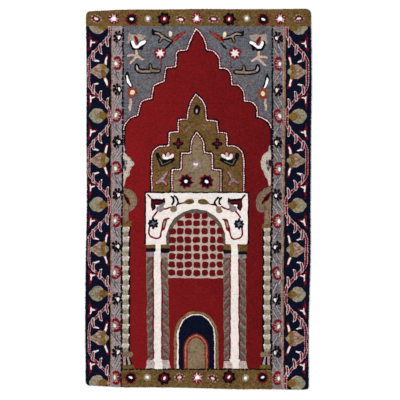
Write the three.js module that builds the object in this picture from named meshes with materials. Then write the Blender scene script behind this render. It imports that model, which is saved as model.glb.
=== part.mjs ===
// A flat hand-tufted prayer rug of about 0.9 by 1.5 metres, lying on the floor.
// The pile and the cloth that it is tufted into are one sheet, so the rug is one solid: a thin
// slab with the slightly crooked outline of a hand-made rug, rounded corners and a pile that
// rolls over all round its edge. The underside is flat.
// Units are millimetres, +Z is up, +Y points to the head of the niche, and the origin is on the
// floor under the middle of the rug's box.

import * as THREE from "three";

// Size of the straight rectangle that the crooked edges wander about.
const WIDTH = 905;
const LENGTH = 1530;

// Height of the pile's top over the floor, backing cloth included.
const THICKNESS = 12;
// The pile leans outwards at the edge, and its top rounds over with this radius.
const PILE_ROLL = 5;
// The turned-under cloth lifts off the floor by this much along the edge.
const HEM_LIFT = 1.6;
const ROLL_STEPS = 5;

// How far each edge stands outside the rectangle, in millimetres, at stations spaced evenly
// along it. The bottom and top edges run from left to right, the side edges from foot to head.
const EDGE_WANDER = {
  bottom: [-11, -3.8, -3.2, -0.4, 4, 4.5, 6.5],
  right: [-6.5, -6.9, 0, 0.8, 2.4, 5, 2],
  top: [-8, -1.8, -1, 0.8, 0.2, 0.6, 1.8],
  left: [1.6, 3.6, 1.6, -3, -1.2, -1.8, 1.2],
};

// How far each corner is rounded back along both of its edges.
const CORNER_ROUND = { footLeft: 16, footRight: 16, headRight: 22, headLeft: 20 };

// Straight pieces that each stretch of an edge or a corner is drawn with.
const CURVE_STEPS = 4;

const PILE_COLOUR = 0x7c1216;
const PILE_ROUGHNESS = 1;

// The wander of an edge at a share of its length from 0 to 1, as a smooth curve.
function wanderCurve(offsets) {
  const last = offsets.length - 1;
  const stations = offsets.map((offset, i) => new THREE.Vector2(i / last, offset));
  return new THREE.SplineCurve(stations);
}

// The point of one edge at a share of its length. Each edge is a straight side of the rectangle
// from one corner to the next, moved outwards by its wander.
function edgePoint(side, share) {
  const offset = side.wander.getPoint(share).y;
  const along = new THREE.Vector2().lerpVectors(side.from, side.to, share);
  return along.addScaledVector(side.outward, offset);
}

// The four sides in anticlockwise order, seen from above. The top and left sides are walked
// against the direction in which their wander is listed.
function rectangleSides() {
  const x = WIDTH / 2;
  const y = LENGTH / 2;
  const foot = [new THREE.Vector2(-x, -y), new THREE.Vector2(x, -y)];
  const head = [new THREE.Vector2(-x, y), new THREE.Vector2(x, y)];
  const reversed = (offsets) => [...offsets].reverse();
  return [
    {
      from: foot[0],
      to: foot[1],
      outward: new THREE.Vector2(0, -1),
      wander: wanderCurve(EDGE_WANDER.bottom),
      endRound: CORNER_ROUND.footRight,
    },
    {
      from: foot[1],
      to: head[1],
      outward: new THREE.Vector2(1, 0),
      wander: wanderCurve(EDGE_WANDER.right),
      endRound: CORNER_ROUND.headRight,
    },
    {
      from: head[1],
      to: head[0],
      outward: new THREE.Vector2(0, 1),
      wander: wanderCurve(reversed(EDGE_WANDER.top)),
      endRound: CORNER_ROUND.headLeft,
    },
    {
      from: head[0],
      to: foot[0],
      outward: new THREE.Vector2(-1, 0),
      wander: wanderCurve(reversed(EDGE_WANDER.left)),
      endRound: CORNER_ROUND.footLeft,
    },
  ];
}

// The wander of a side at its start or its end.
const startOffset = (side) => side.wander.getPoint(0).y;
const endOffset = (side) => side.wander.getPoint(1).y;

// The rug's outline: each crooked edge between its two rounded corners, then the corner. A
// corner lies where its two moved edges meet, and its rounding is measured from there.
function rugOutline() {
  const sides = rectangleSides();
  const shape = new THREE.Shape();
  sides.forEach((side, i) => {
    const next = sides[(i + 1) % sides.length];
    const before = sides[(i + sides.length - 1) % sides.length];
    const length = side.from.distanceTo(side.to);
    const nextLength = next.from.distanceTo(next.to);
    const first = (before.endRound - endOffset(before)) / length;
    const last = 1 - (side.endRound - startOffset(next)) / length;
    const nextFirst = (side.endRound - endOffset(side)) / nextLength;
    const stations = EDGE_WANDER.top.length - 1;
    if (i === 0) {
      const start = edgePoint(side, first);
      shape.moveTo(start.x, start.y);
    }
    const inner = [];
    for (let k = 1; k < stations; k += 1) inner.push(edgePoint(side, k / stations));
    shape.splineThru([...inner, edgePoint(side, last)]);

    const corner = side.to
      .clone()
      .addScaledVector(side.outward, endOffset(side))
      .addScaledVector(next.outward, startOffset(next));
    const end = edgePoint(next, nextFirst);
    shape.quadraticCurveTo(corner.x, corner.y, end.x, end.y);
  });
  return shape;
}

// The slab: the outline extruded with a quarter-round edge above and below. The lower round is
// then pressed flat to the height of the lifted hem, so that the underside rests on the floor.
function rugGeometry() {
  const geometry = new THREE.ExtrudeGeometry(rugOutline(), {
    depth: THICKNESS - PILE_ROLL - HEM_LIFT,
    bevelEnabled: true,
    bevelThickness: PILE_ROLL,
    bevelSize: PILE_ROLL,
    bevelOffset: -PILE_ROLL,
    bevelSegments: ROLL_STEPS,
    curveSegments: CURVE_STEPS,
  });
  const points = geometry.getAttribute("position");
  for (let i = 0; i < points.count; i += 1) {
    const z = points.getZ(i);
    const pressed = z < 0 ? (z * HEM_LIFT) / PILE_ROLL : z;
    points.setZ(i, pressed + HEM_LIFT);
  }
  geometry.computeBoundingBox();
  const middle = geometry.boundingBox.getCenter(new THREE.Vector3());
  geometry.translate(-middle.x, -middle.y, 0);
  geometry.computeVertexNormals();
  return geometry;
}

const woolPile = new THREE.MeshStandardMaterial({
  color: PILE_COLOUR,
  roughness: PILE_ROUGHNESS,
  metalness: 0,
});

const rug = new THREE.Mesh(rugGeometry(), woolPile);
rug.name = "rug";

const part = new THREE.Group();
part.add(rug);

export default part;
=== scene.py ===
import math

import bpy
import numpy as np
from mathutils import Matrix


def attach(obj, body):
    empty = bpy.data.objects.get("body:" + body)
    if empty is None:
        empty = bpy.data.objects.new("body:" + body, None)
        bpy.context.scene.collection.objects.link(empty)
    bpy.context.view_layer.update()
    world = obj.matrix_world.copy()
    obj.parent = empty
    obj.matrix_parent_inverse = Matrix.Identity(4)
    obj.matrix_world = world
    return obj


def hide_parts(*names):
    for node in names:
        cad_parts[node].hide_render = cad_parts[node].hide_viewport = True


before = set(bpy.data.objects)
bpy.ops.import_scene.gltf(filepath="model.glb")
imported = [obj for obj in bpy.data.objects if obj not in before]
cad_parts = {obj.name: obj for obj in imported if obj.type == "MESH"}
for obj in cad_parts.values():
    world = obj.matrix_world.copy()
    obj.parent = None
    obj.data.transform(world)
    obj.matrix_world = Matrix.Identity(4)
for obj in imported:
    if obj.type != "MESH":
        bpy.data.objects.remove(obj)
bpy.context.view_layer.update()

# Size of the straight rectangle that the crooked edges wander about, as in the rug's solid
WIDTH = 905.0
LENGTH = 1530.0
PILE_TOP = 12.0
PILE_ROLL = 5.0
HEM_LIFT = 1.6
EDGE_WANDER = {
    "bottom": [-11, -3.8, -3.2, -0.4, 4, 4.5, 6.5],
    "right": [-6.5, -6.9, 0, 0.8, 2.4, 5, 2],
    "top": [-8, -1.8, -1, 0.8, 0.2, 0.6, 1.8],
    "left": [1.6, 3.6, 1.6, -3, -1.2, -1.8, 1.2],
}
CORNER_ROUND = {"foot_left": 16, "foot_right": 16, "head_right": 22, "head_left": 20}

# The pile is built in cells of this size, each tufted with one yarn
CELL = 2.0
# Grid lines across the rolled edge, by their distance from the rug's outline
ROLL_LINES = [0.0, 0.4, 1.4, 2.9]
PILE_PARTS = ["pile_head", "pile_upper", "pile_lower", "pile_foot"]
MM = 0.001

rng = np.random.RandomState(11)

# Yarns: red, green and blue from 0 to 255 as they look, how unevenly the dye took, and how much
# brighter the yarn gets for each metre to the right, which is painted shade for the light falling
# off from left to right
YARNS = {
    "red": (112, 18, 21, 0.05, -0.7),
    "crimson": (113, 12, 31, 0.08, 0.0),
    "dark_red": (84, 8, 24, 0.09, 0.0),
    "rust": (142, 56, 38, 0.10, 0.0),
    "olive": (102, 78, 42, 0.12, 0.0),
    "gold": (117, 86, 36, 0.12, 0.0),
    "pale_gold": (150, 112, 76, 0.10, 0.0),
    "taupe": (126, 108, 84, 0.085, 0.0),
    "umber": (110, 90, 66, 0.12, 0.0),
    "tan": (132, 104, 84, 0.12, 0.0),
    "pink": (168, 134, 130, 0.10, 0.0),
    "beige": (192, 166, 152, 0.07, 0.0),
    "fawn": (150, 132, 118, 0.09, 0.0),
    "cream": (228, 212, 184, 0.05, 0.0),
    "off_white": (233, 225, 219, 0.03, 0.0),
    "white": (252, 250, 250, 0.02, 0.0),
    "mauve": (135, 120, 122, 0.10, -0.62),
    "lilac": (188, 168, 170, 0.08, 0.0),
    "blue_grey": (95, 96, 102, 0.11, 0.0),
    "grey_green": (92, 91, 82, 0.12, 0.0),
    "grey_brown": (116, 92, 80, 0.12, 0.0),
    "russet": (106, 66, 58, 0.12, 0.0),
    "brick": (134, 40, 34, 0.10, 0.0),
    "garnet": (98, 14, 20, 0.07, 0.0),
    "moss": (120, 102, 66, 0.11, 0.0),
    "husk": (158, 148, 130, 0.07, 0.0),
    "sage": (110, 110, 100, 0.10, 0.0),
    "stone": (90, 80, 72, 0.11, 0.0),
    "silver": (150, 152, 156, 0.08, 0.0),
    "pale_silver": (168, 170, 170, 0.07, 0.0),
    "umber_grey": (88, 84, 84, 0.10, 0.0),
    "rose_grey": (180, 164, 152, 0.07, 0.0),
    "moss_grey": (136, 131, 107, 0.10, 0.0),
    "shell": (186, 176, 164, 0.06, 0.0),
    "navy": (8, 12, 32, 0.12, 0.0),
    "black": (13, 10, 18, 0.12, 0.0),
    "backing": (196, 184, 160, 0.05, 0.0),
}
YARN_INDEX = {name: k for k, name in enumerate(YARNS)}


# Shape of the rug

def wander(edge, share):
    """How far an edge stands outside the rectangle, at shares of its length from 0 to 1."""
    stations = EDGE_WANDER[edge]
    values = np.array([stations[0], *stations, stations[-1]], float)
    place = np.clip(share, 0, 1) * (len(stations) - 1)
    step = np.minimum(place.astype(int), len(stations) - 2)
    t = place - step
    before, start, end, after = (values[step + k] for k in range(4))
    slope_in = (end - before) / 2
    slope_out = (after - start) / 2
    cubic = (2 * start - 2 * end + slope_in + slope_out) * t**3
    square = (-3 * start + 3 * end - 2 * slope_in - slope_out) * t**2
    return cubic + square + slope_in * t + start


def round_corner(x, y, side_x, side_y, size):
    """Draws the square corner of the rectangle in to the rug's rounded one."""
    a = side_x * x - (WIDTH / 2 - size)
    b = side_y * y - (LENGTH / 2 - size)
    near = (a > 0) & (b > 0)
    longest = np.maximum(a, b)
    ratio = np.where(near, np.minimum(a, b) / np.where(near, longest, 1), 0)
    share = ratio / (1 + np.sqrt(1 - ratio + ratio**2))
    factor = 1 - share**2
    new_x = side_x * (WIDTH / 2 - size + a * factor)
    new_y = side_y * (LENGTH / 2 - size + b * factor)
    return np.where(near, new_x, x), np.where(near, new_y, y)


def on_rug(x, y):
    """Where a point of the straight rectangle lies on the crooked rug."""
    corners = {"left": -1, "right": 1, "foot": -1, "head": 1}
    for name, size in CORNER_ROUND.items():
        end, side = name.split("_")
        x, y = round_corner(x, y, corners[side], corners[end], size)
    across = x / WIDTH + 0.5
    along = y / LENGTH + 0.5
    new_x = x + wander("right", along) * across - wander("left", along) * (1 - across)
    new_y = y + wander("top", across) * along - wander("bottom", across) * (1 - along)
    return new_x, new_y


def grid_lines(length, cell):
    """Grid lines from edge to edge: even cells, and closer lines where the pile rolls over."""
    count = round((length - 2 * PILE_ROLL) / cell)
    half = length / 2
    middle = np.linspace(PILE_ROLL - half, half - PILE_ROLL, count + 1)
    roll = np.array(ROLL_LINES)
    return np.concatenate([roll - half, middle, half - roll[::-1]])


def rug_middle():
    """The middle of the crooked outline's box, which the frame has as its origin."""
    share = np.linspace(-0.5, 0.5, 801)
    side = np.full_like(share, 0.5)
    x = np.concatenate([share, share, side, -side]) * WIDTH
    y = np.concatenate([side, -side, share, share]) * LENGTH
    x, y = on_rug(x, y)
    return (x.min() + x.max()) / 2, (y.min() + y.max()) / 2


def smooth_noise(rows, columns, spacing):
    """Noise of about 1 that changes over a number of cells."""
    coarse = rng.standard_normal((int(rows / spacing) + 3, int(columns / spacing) + 3))
    row = np.arange(rows) / spacing
    column = np.arange(columns) / spacing
    i = row.astype(int)
    k = column.astype(int)
    s = (row - i)[:, None]
    t = (column - k)[None, :]
    s = s * s * (3 - 2 * s)
    t = t * t * (3 - 2 * t)
    low = coarse[i][:, k] * (1 - t) + coarse[i][:, k + 1] * t
    high = coarse[i + 1][:, k] * (1 - t) + coarse[i + 1][:, k + 1] * t
    return low * (1 - s) + high * s


# Drawing with yarn

column_lines = grid_lines(WIDTH, CELL)
row_lines = grid_lines(LENGTH, CELL)
ROWS = len(row_lines) - 1
COLUMNS = len(column_lines) - 1
flat_x, flat_y = np.meshgrid(column_lines, row_lines)
corner_x, corner_y = on_rug(flat_x, flat_y)


def cell_middles(corners):
    return (corners[1:, 1:] + corners[1:, :-1] + corners[:-1, 1:] + corners[:-1, :-1]) / 4


# A tufting gun drifts off the drawn line a little, in long waves and in short ones
LONG_DRIFT = 0.9
SHORT_DRIFT = 0.55
drift = [
    LONG_DRIFT * smooth_noise(ROWS, COLUMNS, 9) + SHORT_DRIFT * smooth_noise(ROWS, COLUMNS, 2.6)
    for _ in "xy"
]
cell_x = cell_middles(corner_x) + drift[0]
cell_y = cell_middles(corner_y) + drift[1]
yarn = np.zeros((ROWS, COLUMNS), np.int16)


def bend(points, steps=5):
    """A smooth line through the points."""
    p = np.array([points[0], *points, points[-1]], float)
    line = []
    for k in range(1, len(p) - 2):
        for t in np.linspace(0, 1, steps, endpoint=False):
            straight = 2 * p[k] + (p[k + 1] - p[k - 1]) * t
            square = (2 * p[k - 1] - 5 * p[k] + 4 * p[k + 1] - p[k + 2]) * t**2
            cubic = (3 * p[k] - p[k - 1] - 3 * p[k + 1] + p[k + 2]) * t**3
            line.append((straight + square + cubic) / 2)
    line.append(p[-2])
    return line


def rounded(table, steps=4):
    """A line through rows of x, y and the distance over which that corner is rounded."""
    line = []
    for k, (x, y, size) in enumerate(table):
        here = np.array([x, y], float)
        if size == 0 or k in (0, len(table) - 1):
            line.append(here)
            continue
        ends = []
        for other in (table[k - 1], table[k + 1]):
            way = np.array(other[:2], float) - here
            far = np.hypot(*way)
            ends.append(here + way * min(size, far / 2) / far)
        for t in np.linspace(0, 1, steps + 1):
            line.append((1 - t) ** 2 * ends[0] + 2 * t * (1 - t) * here + t * t * ends[1])
    return line


def direction(turn):
    """The cosine and sine of an angle in degrees."""
    return math.cos(math.radians(turn)), math.sin(math.radians(turn))


# A patch takes in cells a little past its reach, because the crooked edges move them
PATCH_SLACK = 14


class Patch:
    """A piece of the pile around one place, with its own axes, where a motif is tufted."""

    def __init__(self, x, y, reach, turn=0.0, mirror=1):
        wide, high = np.broadcast_to(reach, 2) + PATCH_SLACK
        rows = slice(*np.searchsorted(row_lines, [y - high, y + high]))
        columns = slice(*np.searchsorted(column_lines, [x - wide, x + wide]))
        self.yarn = yarn[rows, columns]
        across = mirror * (cell_x[rows, columns] - x)
        up = cell_y[rows, columns] - y
        c, s = direction(turn)
        self.u = c * across + s * up
        self.v = c * up - s * across
        self.angle = np.arctan2(self.v, self.u)
        self.far = np.hypot(self.u, self.v)

    def fill(self, inside, name):
        self.yarn[inside] = YARN_INDEX[name]

    def away(self, points):
        """How far each cell is from a line, and the share of the line's length it is at."""
        p = np.array(points, float)
        lengths = np.hypot(*np.diff(p, axis=0).T)
        total = lengths.sum()
        best = np.full(self.u.shape, 1e9)
        share = np.zeros(self.u.shape)
        done = 0.0
        for start, end, length in zip(p[:-1], p[1:], lengths):
            if length == 0:
                continue
            way = (end - start) / length
            along = np.clip((self.u - start[0]) * way[0] + (self.v - start[1]) * way[1], 0, length)
            far = np.hypot(self.u - start[0] - way[0] * along, self.v - start[1] - way[1] * along)
            nearer = far < best
            best[nearer] = far[nearer]
            share[nearer] = (done + along[nearer]) / total
            done += length
        return best, share

    def stroke(self, points, width, end_width=None):
        """The cells on a line whose width may change evenly from one end to the other."""
        far, share = self.away(points)
        if end_width is None:
            return far < width / 2
        return far < (width + (end_width - width) * share) / 2

    def line(self, name, points, width, end_width=None):
        self.fill(self.stroke(points, width, end_width), name)

    def spot(self, name, radius, at=(0, 0), stretch=1.0, turn=0.0):
        self.fill(self.disc(radius, at, stretch, turn), name)

    def inside(self, points):
        """The cells inside a closed outline."""
        found = np.zeros(self.u.shape, bool)
        p = [tuple(q[:2]) for q in points]
        for (x0, y0), (x1, y1) in zip(p, p[1:] + p[:1]):
            if y0 == y1:
                continue
            crosses = (self.v < y0) != (self.v < y1)
            found ^= crosses & (self.u < x0 + (self.v - y0) * (x1 - x0) / (y1 - y0))
        return found

    def disc(self, radius, at=(0, 0), stretch=1.0, turn=0.0):
        """A round or oval spot. stretch is its length over its width, along the turned axis."""
        c, s = direction(turn)
        a = c * (self.u - at[0]) + s * (self.v - at[1])
        b = c * (self.v - at[1]) - s * (self.u - at[0])
        return np.hypot(a / stretch, b) < radius

    def box(self, low_u, high_u, low_v, high_v):
        return (self.u > low_u) & (self.u < high_u) & (self.v > low_v) & (self.v < high_v)

    def lobed(self, radius, lobes, depth, phase=0.0, at=(0, 0)):
        """A disc whose edge has a number of round lobes."""
        far = np.hypot(self.u - at[0], self.v - at[1])
        angle = np.arctan2(self.v - at[1], self.u - at[0])
        return far < radius * (1 - depth + depth * np.abs(np.cos(lobes * angle / 2 + phase)))

    def spiky(self, radius, points, depth, phase=0.0):
        """A disc whose edge has a number of sharp points."""
        saw = np.abs(((self.angle + phase) * points / (2 * math.pi)) % 1 - 0.5) * 2
        return self.far < radius * (1 - depth * saw)


def whole():
    return Patch(0, 0, (WIDTH / 2, LENGTH / 2))


def region(x, y, reach):
    """A piece of the pile around one place, with the rug's own axes."""
    patch = Patch(x, y, reach)
    patch.u += x
    patch.v += y
    return patch


# Lines that the pattern is laid out by, with the right-hand ones leaning in towards the foot

HEAD_BAND_FOOT = 697
FOOT_LINE = -689
AXIS = -8.5
# Where the spandrel ends, at the foot of the niche's arch
SPANDREL_FOOT = 186
# How far the dashed line over the foot band runs
FOOT_LINE_ENDS = (-309, 298)

# The lines that part each border's bands, by their distance from the rug's middle. The columns
# are the height on the rug, the outer edge, the dark line's inner edge, the mauve band's outer
# edge and the middle of the dashed line.
BORDER_LINES = {
    "left": [
        (-700, 452, 355.0, 350.7, 310.5),
        (-287, 452, 354.3, 350.7, 310.5),
        (116, 452, 353.0, 349.0, 306.6),
        (458, 452, 351.9, 348.0, 303.6),
    ],
    "right": [
        (-700, 444, 346.2, 340.6, 296.0),
        (-287, 447, 344.8, 338.8, 294.0),
        (116, 449, 349.3, 342.8, 299.5),
        (458, 452, 353.4, 346.6, 299.6),
    ],
}
OUTWARD = {"left": -1, "right": 1}
DASH_WIDTH = 7.4
DARK_LINE_WIDTH = 6.0
# The right-hand border's motifs sit this much lower than the left-hand ones
LOWER = {"left": 0, "right": 3}


def border_line(side, column, y):
    """Where a line of a border runs at a height on the rug, from the rug's middle outwards."""
    heights = [row[0] for row in BORDER_LINES[side]]
    return np.interp(y, heights, [row[column] for row in BORDER_LINES[side]])


def outer_edge(side, y):
    """How far the side's pattern reaches out from the middle at a height on the rug."""
    return border_line(side, 1, y)


def border_place(side, inward, y):
    """A place that lies inward from a side's edge."""
    return OUTWARD[side] * (outer_edge(side, y) - inward), y


# The line of the niche's arch and of the two panels, from the apex down each side. The columns
# are x, y and the distance over which that corner is rounded.
ARCH_LEFT = [
    (-9, 688, 0), (-29, 648, 20), (-40, 616, 20), (-48, 599, 4), (-86, 596, 12), (-90, 532, 3),
    (-130, 530, 14), (-138, 474, 4), (-183, 457, 14), (-187, 405, 3), (-232, 396, 22),
    (-243, 337, 3), (-280, 326, 20), (-302, 290, 26), (-302, 186, 0),
]
ARCH_RIGHT = [
    (-9, 688, 0), (12, 665, 14), (28, 638, 20), (33, 601, 3), (64, 598, 14), (84, 574, 14),
    (86, 526, 2), (116, 526, 14), (134, 500, 14), (135, 461, 2), (167, 458, 14), (185, 428, 14),
    (187, 395, 2), (220, 392, 14), (239, 366, 14), (237, 331, 2), (268, 326, 20),
    (299, 290, 26), (299, 186, 0),
]
DOME_LEFT = [
    (-9, 422, 0), (-28, 396, 14), (-38, 368, 16), (-44, 321, 2), (-79, 319, 2), (-81, 269, 2),
    (-118, 267, 2), (-119, 214, 2), (-164, 211, 20), (-188, 186, 24), (-188, 27, 0),
]
DOME_RIGHT = [
    (-9, 422, 0), (15, 400, 14), (30, 368, 16), (33, 317, 2), (76, 313, 2), (80, 268, 2),
    (115, 265, 2), (116, 215, 2), (156, 212, 24), (184, 180, 26), (184, 27, 0),
]
PANEL_LEFT = [
    (-8, 268, 0), (-24, 243, 10), (-30, 217, 10), (-31, 185, 2), (-68, 182, 2), (-69, 119, 2),
    (-106, 117, 2), (-106, 27, 0),
]
PANEL_RIGHT = [
    (-8, 268, 0), (9, 252, 8), (23, 226, 10), (24, 185, 2), (56, 182, 2), (57, 119, 2),
    (91, 116, 2), (91, 27, 0),
]
CORD = 4.8
CORD_SHADOW = 5.4
CORD_RED = 4.4
CORD_STITCH = 9.0


def closed_line(left, right):
    return rounded(left)[::-1] + rounded(right)[1:]


def line_length(line):
    return np.hypot(*np.diff(np.array(line), axis=0).T).sum()


def ragged(along, pitch, swing=2.2, length=31):
    """A fine wave along a straight edge, whose pitch drifts."""
    return np.sin(along / pitch + swing * np.sin(along / length))


def stitched(share, length, stitch):
    """A wave along a line, once up and down for each stitch, with the stitches uneven."""
    along = share * length
    uneven = 2.1 * np.sin(along / 23.0) + 1.4 * np.sin(along / 8.3 + 1)
    return np.sin(2 * math.pi * (along + uneven) / stitch)


def piped_line(left, right, red_inside):
    """A white cord between a red line on the side that is asked for and a black line, with painted
    shade between the cord's beads.
    """
    line = closed_line(left, right)
    cloth = whole()
    far, share = cloth.away(line)
    within = cloth.inside(line)
    red_side = within if red_inside else ~within
    half = CORD / 2
    wave = stitched(share, line_length(line), CORD_STITCH)
    cloth.fill((far < half + CORD_RED + 0.6 * wave) & red_side, "crimson")
    cloth.fill((far < half + CORD_SHADOW + 1.2 * wave) & ~red_side, "black")
    cloth.fill(far < half, "off_white")
    # The pink and dark red marks at the stitch gaps of the white cord are painted shade between its
    # beads
    cloth.fill((far < half) & (wave < -0.6), "pink")
    cloth.fill((far < half) & (wave < -0.88), "dark_red")


# Grounds

def paint_grounds():
    cloth = whole()
    cloth.yarn[:] = YARN_INDEX["red"]
    under_arch = cloth.inside(closed_line(ARCH_LEFT, ARCH_RIGHT))
    cloth.fill((cloth.v > SPANDREL_FOOT) & ~under_arch, "blue_grey")
    piped_line(ARCH_LEFT, ARCH_RIGHT, False)


def paint_side(side):
    """The straight ground of one border: navy, dark line, tan line, mauve band, dashed line."""
    cloth = whole()
    out = OUTWARD[side] * cloth.u
    dark, band, dashes = (border_line(side, k, cloth.v) for k in (2, 3, 4))
    wave = ragged(cloth.v, 1.45)
    cloth.fill(out > dashes - DASH_WIDTH / 2 - 0.9 * wave, "black")
    gap = ragged(cloth.v, 2.6) > 0.97
    cloth.fill((out > dashes - DASH_WIDTH / 2) & gap, "mauve")
    cloth.fill(out > dashes + DASH_WIDTH / 2 + 0.8 * wave, "mauve")
    cloth.fill(out > band - 3.6, "pink")
    cloth.fill(out > band, "tan")
    cloth.fill(out > dark + 0.7 * wave, "black")
    cloth.fill(out > dark + DARK_LINE_WIDTH, "navy")


def paint_end_bands():
    cloth = whole()
    cloth.fill(cloth.v > HEAD_BAND_FOOT, "olive")
    between = (cloth.u > FOOT_LINE_ENDS[0]) & (cloth.u < FOOT_LINE_ENDS[1])
    wave = ragged(cloth.u, 1.5, 2.1, 37)
    gap = ragged(cloth.u, 2.6, 2, 37) > 0.96
    cloth.fill(between & (cloth.v < FOOT_LINE + 2.8 + 0.7 * wave), "black")
    cloth.fill(between & (cloth.v < FOOT_LINE + 2.5) & gap, "olive")
    cloth.fill(between & (cloth.v < FOOT_LINE - 3 + 0.7 * wave), "olive")


# Rosettes of the two end bands

def rosette_red(patch):
    patch.fill(patch.spiky(26, 13, 0.3), "crimson")
    ring = (patch.far > 12) & (patch.far < 20)
    patch.fill(ring & (np.cos(9 * patch.angle) > 0.7), "lilac")
    patch.fill(patch.lobed(14, 3, 0.4, 0.4), "lilac")
    patch.fill(patch.lobed(10, 3, 0.4, 1.0), "white")


def rosette_dark(patch):
    patch.fill(patch.spiky(29, 12, 0.4), "crimson")
    patch.fill(patch.lobed(21.5, 9, 0.12), "dark_red")
    patch.fill(patch.lobed(18, 7, 0.14), "black")
    patch.spot("white", 4.8, (0, 1), 1.9)


def rosette_black(patch):
    patch.fill(patch.lobed(28, 7, 0.3, 0.5), "black")
    patch.fill(patch.spiky(16, 8, 0.3), "crimson")
    patch.spot("white", 4.4, (0, 0), 1.7, 60)


def rosette_mauve(patch):
    ring = patch.disc(17, (0, 0), 1.4)
    patch.fill(ring & (np.cos(9 * patch.angle) > -0.6), "pink")
    patch.fill(ring & (np.cos(9 * patch.angle + 1) > 0.8), "grey_brown")
    patch.fill(patch.disc(11.5, (0, 0), 1.5) & (np.cos(8 * patch.angle) > -0.9), "dark_red")
    patch.spot("pink", 6.4, (0, 0), 1.5)
    patch.spot("off_white", 3.8, (0, 0), 2.1)


def rosette_light(patch):
    patch.fill(patch.lobed(20, 6, 0.5, 0.7) & (np.cos(6 * patch.angle) < -0.2), "grey_brown")
    patch.fill(patch.lobed(14.5, 6, 0.12), "moss_grey")
    patch.spot("lilac", 9)
    patch.spot("white", 6, (0, 0), 1.1, 90)


# The columns are the distance from the rug's middle and the kind of rosette
HEAD_ROSETTES = [
    (-412, rosette_mauve), (-341, rosette_red), (-269, rosette_dark), (-204, rosette_light),
    (-138, rosette_black), (-70, rosette_mauve), (-6, rosette_red), (62, rosette_mauve),
    (125, rosette_black), (196, rosette_light), (263, rosette_dark), (332, rosette_red),
    (406, rosette_mauve),
]
HEAD_ROSETTE_LINE = 726
FOOT_ROSETTES = [
    (-273, rosette_dark), (-206, rosette_light), (-137, rosette_black), (-75, rosette_mauve),
    (-4, rosette_red), (59, rosette_mauve), (123, rosette_black), (191, rosette_light),
    (260, rosette_dark),
]
FOOT_ROSETTE_LINE = -723


def paint_rosettes():
    for line, table in ((HEAD_ROSETTE_LINE, HEAD_ROSETTES), (FOOT_ROSETTE_LINE, FOOT_ROSETTES)):
        for k, (x, kind) in enumerate(table):
            kind(Patch(x, line + 2 * math.sin(2.3 * k), 34, turn=9 * (k % 5 - 2)))


# Borders: a vine that swings from edge to edge, with palmettes, buds and leaves

VINE_PERIOD = 359.5
VINE_START = 690.0
VINE_OUTER = 11.0
VINE_INNER = 92.5
# The fans sit a little nearer the head than the middles of the runs that they grow from
FAN_SHIFT = 5.0
INNER_RUN = 70.0
OUTER_RUN = 118.0
BUD_AWAY = 68.0
# How far in from the rug's edge the buds, their stems and the white leaves sit, and how far
# up and down from a fan its white leaves are
BUD_INWARD = 18
STEM_INWARD = 14
LEAF_INWARD = 81
LEAF_AWAY = 46
# The pitch of the beads along the vine
VINE_BEAD = 9.0
# The width of each side's vine and of its red core
VINE_SIZES = {"left": (11.4, 5.0), "right": (13.4, 7.2)}
# Each barb's share of the way from the inner run to the outer one, and how far its tip hooks
BARBS = [(0.12, 3), (0.46, 5), (0.8, 19)]


def vine_points(side, start):
    """One period of the vine, from the middle of an inner run to that of the next one."""
    swing = (VINE_PERIOD - INNER_RUN - OUTER_RUN) / 2
    stops = [
        (VINE_INNER, 0),
        (VINE_INNER, INNER_RUN / 2),
        (VINE_OUTER, INNER_RUN / 2 + swing),
        (VINE_OUTER, INNER_RUN / 2 + swing + OUTER_RUN),
        (VINE_INNER, VINE_PERIOD - INNER_RUN / 2),
        (VINE_INNER, VINE_PERIOD),
    ]
    return [(*border_place(side, inward, start - down), 16) for inward, down in stops]


def vine(patch, line, width, core):
    far, share = patch.away(line)
    patch.fill(far < width / 2, "lilac")
    bead = (share * line_length(line) / VINE_BEAD) % 1
    patch.fill((far < width / 2) & (bead < 0.3), "pink")
    patch.fill(far < core / 2 + 0.9 * np.sin(2 * math.pi * bead), "crimson")


def barb(patch, hook):
    """A hooked leaflet: a red vein in a pale outline. It points down the patch."""
    spine = bend([(0, 5), (0, -6), (1, -16), (3, -26)])
    patch.line("lilac", spine, 12.4, 11)
    patch.line("lilac", [(2, -24), (2 + hook, -31)], 7.4, 6)
    patch.line("off_white", [(4, -28), (3 + hook, -31)], 4, 5)
    patch.line("crimson", spine, 6.2, 5.6)


def palmette_outer(patch):
    """A fan that grows inward from the vine. The patch's u axis points away from the vine."""
    edge = [(0, 3, 0), (14, 11, 3), (28, 22, 3), (38, 31, 3), (52, 29, 3), (64, 27, 3),
            (71, 13, 3), (80, 8, 3), (80, -4, 3)]
    edge += [(72, -12, 3), (63, -25, 3), (50, -28, 3), (39, -30, 3), (26, -20, 3), (12, -10, 3),
             (0, -3, 0)]
    outline = rounded(edge)
    far, share = patch.away(outline)
    scallop = np.abs(np.sin(share * line_length(outline) / 7))
    rim = (far < 2.2 + 2.6 * scallop) & (patch.u < 52)
    patch.fill(patch.inside(outline), "taupe")
    patch.fill(patch.inside(outline) & rim, "pink")
    for u, v, turn in ((36, 18, 35), (40, 7, 10), (37, -8, -18), (32, -18, -34)):
        patch.spot("pink", 3.4, (u, v), 2.8, turn)
    patch.spot("umber", 3, (27, 2), 3.4, 4)
    patch.spot("moss_grey", 5, (17, 1), 1.6)
    patch.line("gold", bend([(60, 25), (57, 10), (57, -10), (60, -24)]), 14, 15)
    patch.line("umber", [(52, 14), (47, 0), (52, -15)], 3.4)
    patch.spot("moss_grey", 8, (71, 1), 1.3, 90)


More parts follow.
